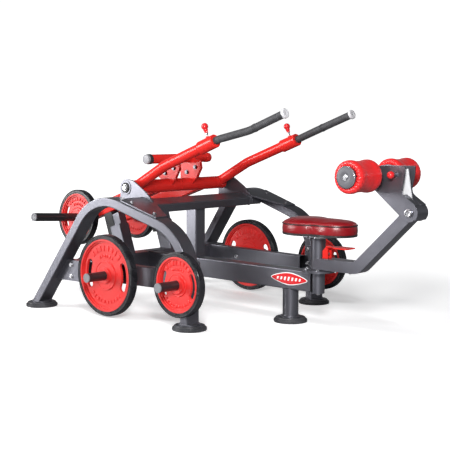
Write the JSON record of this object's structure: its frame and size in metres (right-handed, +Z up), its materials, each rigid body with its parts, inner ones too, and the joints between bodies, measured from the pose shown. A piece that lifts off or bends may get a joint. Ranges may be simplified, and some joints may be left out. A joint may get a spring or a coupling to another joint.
{
  "type": "seated lever dip press",
  "caption": "Plate-loaded lever machine: hinged arms with turning grips, height-set seat, tilting thigh rollers, arched frame with plate storage.",
  "frame": {"origin": "on the floor under the middle front foot", "axes": "+X towards the thigh rollers at the front of the machine, the way the user faces, +Y to the user's left, +Z up"},
  "size_m": [2.4615, 1.526, 1.1405],
  "materials": {
    "foot_rubber": "matt moulded rubber",
    "frame_paint": "satin charcoal metallic powder coat",
    "red_paint": "gloss red powder coat",
    "black_paint": "satin black sleeve",
    "plated_steel": "zinc-plated steel",
    "chrome_post": "chrome-plated tube",
    "bronze": "sintered bronze bush",
    "black_rubber": "moulded rubber",
    "grip_rubber": "ribbed rubber grip",
    "cap_plastic": "moulded plastic cap",
    "knob_plastic": "red knob on a steel pin",
    "red_leather": "sewn red upholstery",
    "plate_iron": "red enamelled cast iron",
    "plate_rubber": "rubber tyre of the plate"
  },
  "bodies": {
    "frame": {"foot_pads": "foot_rubber", "side_arches": "frame_paint", "cross_member": "frame_paint", "pivot_plates": "frame_paint", "pivot_shaft": "plated_steel", "pivot_end_bolts": "plated_steel", "main_beam": "frame_paint", "centre_post": "frame_paint", "rear_cross_beam": "frame_paint", "side_rails": "frame_paint", "stop_posts": "frame_paint", "stop_buffers": "black_rubber", "front_leg": "frame_paint", "storage_horns": "black_paint", "storage_horn_caps": "cap_plastic", "seat_column": "frame_paint", "seat_lever_bracket": "red_paint", "thigh_arm": "frame_paint", "sector_plate": "plated_steel", "thigh_pivot_bolt": "plated_steel", "frame_bolts": "plated_steel"},
    "right_lever": {"right_lever_frame": "red_paint", "right_lever_bushes": "bronze", "right_band_peg": "red_paint", "right_lever_bolts": "plated_steel", "right_lever_horn": "black_paint", "right_lever_end_caps": "cap_plastic"},
    "right_grip": {"right_grip_bar": "plated_steel", "right_grip_rubber": "grip_rubber"},
    "right_grip_pin": {"right_grip_pin": "knob_plastic"},
    "left_lever": {"left_lever_frame": "red_paint", "left_lever_bushes": "bronze", "left_band_peg": "red_paint", "left_lever_bolts": "plated_steel", "left_lever_horn": "black_paint", "left_lever_end_caps": "cap_plastic"},
    "left_grip": {"left_grip_bar": "plated_steel", "left_grip_rubber": "grip_rubber"},
    "left_grip_pin": {"left_grip_pin": "knob_plastic"},
    "seat": {"seat_post": "chrome_post", "seat_cushion": "red_leather"},
    "seat_lever": {"seat_lever": "red_paint"},
    "seat_lock_pin": {"seat_lock_pin": "plated_steel"},
    "thigh_bracket": {"thigh_bracket": "frame_paint", "roller_axle": "plated_steel"},
    "thigh_pin": {"thigh_pin": "knob_plastic"},
    "right_roller": {"right_roller": "red_leather"},
    "left_roller": {"left_roller": "red_leather"},
    "right_rear_plate": {"right_rear_plate_disc": "plate_iron", "right_rear_plate_ring": "plate_rubber"},
    "right_front_plate": {"right_front_plate_disc": "plate_iron", "right_front_plate_ring": "plate_rubber"},
    "right_lever_plate": {"right_lever_plate_disc": "plate_iron", "right_lever_plate_ring": "plate_rubber"},
    "left_rear_plate": {"left_rear_plate_disc": "plate_iron", "left_rear_plate_ring": "plate_rubber"},
    "left_front_plate": {"left_front_plate_disc": "plate_iron", "left_front_plate_ring": "plate_rubber"},
    "left_lever_plate": {"left_lever_plate_disc": "plate_iron", "left_lever_plate_ring": "plate_rubber"}
  },
  "joints": [
    {"name": "right_lever_swing", "type": "hinge", "parent": "frame", "child": "right_lever", "pos_m": [-0.855, 0, 0.705], "axis": [0, 1, 0], "range_deg": [0, 32]},
    {"name": "right_grip_turn", "type": "hinge", "parent": "right_lever", "child": "right_grip", "pos_m": [-0.23736, -0.346, 0.97383], "axis": [-0.9367, 0, -0.3502], "range_deg": [0, 180]},
    {"name": "right_grip_pin_slide", "type": "slide", "parent": "right_lever", "child": "right_grip_pin", "axis": [0.3502, 0, -0.9367], "range_m": [0, 0.008]},
    {"name": "left_lever_swing", "type": "hinge", "parent": "frame", "child": "left_lever", "pos_m": [-0.855, 0, 0.705], "axis": [0, 1, 0], "range_deg": [0, 32]},
    {"name": "left_grip_turn", "type": "hinge", "parent": "left_lever", "child": "left_grip", "pos_m": [-0.23736, 0.346, 0.97383], "axis": [0.9367, 0, 0.3502], "range_deg": [0, 180]},
    {"name": "left_grip_pin_slide", "type": "slide", "parent": "left_lever", "child": "left_grip_pin", "axis": [0.3502, 0, -0.9367], "range_m": [0, 0.008]},
    {"name": "seat_height", "type": "slide", "parent": "frame", "child": "seat", "axis": [0, 0, 1], "range_m": [0, 0.12]},
    {"name": "seat_lever_drop", "type": "hinge", "parent": "frame", "child": "seat_lever", "pos_m": [0.2415, 0, 0.417], "axis": [0, 1, 0], "range_deg": [0, 15]},
    {"name": "seat_lock_slide", "type": "slide", "parent": "frame", "child": "seat_lock_pin", "axis": [-1, 0, 0], "range_m": [0, 0.0066]},
    {"name": "thigh_bracket_tilt", "type": "hinge", "parent": "frame", "child": "thigh_bracket", "pos_m": [0.756, 0, 0.637], "axis": [0, -1, 0], "range_deg": [0, 30]},
    {"name": "thigh_pin_slide", "type": "slide", "parent": "thigh_bracket", "child": "thigh_pin", "axis": [0, 1, 0], "range_m": [0, 0.01]},
    {"name": "right_roller_spin", "type": "hinge", "parent": "thigh_bracket", "child": "right_roller", "pos_m": [0.551, 0, 0.811], "axis": [0, 1, 0], "continuous": true},
    {"name": "left_roller_spin", "type": "hinge", "parent": "thigh_bracket", "child": "left_roller", "pos_m": [0.551, 0, 0.811], "axis": [0, 1, 0], "continuous": true},
    {"name": "right_rear_plate_slide", "type": "slide", "parent": "frame", "child": "right_rear_plate", "axis": [0, -1, 0], "range_m": [0, 0.164]},
    {"name": "right_front_plate_slide", "type": "slide", "parent": "frame", "child": "right_front_plate", "axis": [0, -1, 0], "range_m": [0, 0.165]},
    {"name": "right_lever_plate_slide", "type": "slide", "parent": "right_lever", "child": "right_lever_plate", "axis": [0, -0.9978, 0.0663], "range_m": [0, 0.35]},
    {"name": "left_rear_plate_slide", "type": "slide", "parent": "frame", "child": "left_rear_plate", "axis": [0, 1, 0], "range_m": [0, 0.164]},
    {"name": "left_front_plate_slide", "type": "slide", "parent": "frame", "child": "left_front_plate", "axis": [0, 1, 0], "range_m": [0, 0.165]},
    {"name": "left_lever_plate_slide", "type": "slide", "parent": "left_lever", "child": "left_lever_plate", "axis": [0, 0.9978, 0.0663], "range_m": [0, 0.35]}
  ],
  "couplings": [
    {"joint": "seat_lock_slide", "follows": "seat_lever_drop", "m_per_rad": 0.025}
  ]
}
